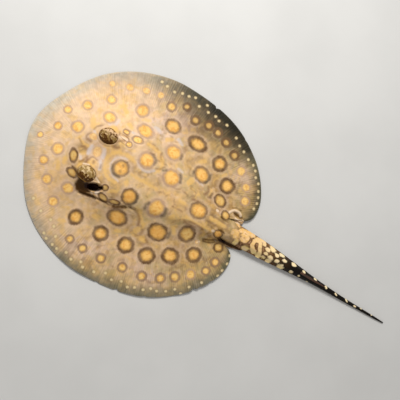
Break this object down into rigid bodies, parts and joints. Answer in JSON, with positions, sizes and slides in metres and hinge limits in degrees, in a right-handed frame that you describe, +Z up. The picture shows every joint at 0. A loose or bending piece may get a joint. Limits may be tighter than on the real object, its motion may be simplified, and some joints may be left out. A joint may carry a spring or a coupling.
{
  "type": "freshwater stingray",
  "caption": "Still life-size young spotted freshwater stingray lying flat, with a round disc, raised eyes and a slender tapering tail.",
  "frame": {"origin": "point on the flat of the belly, at floor level, on the head's midline under the gill region", "axes": "+Z up, head to -Y and tail to +Y, +X to the animal's left"},
  "size_m": [0.15, 0.299, 0.0198],
  "materials": {
    "back_skin": "moist smooth skin, tan with orange spots ringed in brown",
    "fin_skin": "moist thin skin, tan with orange spots, grey at the margin",
    "tail_skin": "moist skin, brown black with cream blotches",
    "sting": "dull horn in a dark sheath",
    "eye": "wet, mottled olive and black"
  },
  "bodies": {
    "root": {"head": "back_skin", "trunk": "back_skin", "pectoral_fin_left": "fin_skin", "pectoral_fin_right": "fin_skin", "pelvic_fin_left": "fin_skin", "pelvic_fin_right": "fin_skin", "tail_base": "tail_skin", "tail_middle": "tail_skin", "tail_tip": "tail_skin", "tail_sting": "sting", "eye_left": "eye", "eye_right": "eye"}
  },
  "joints": []
}
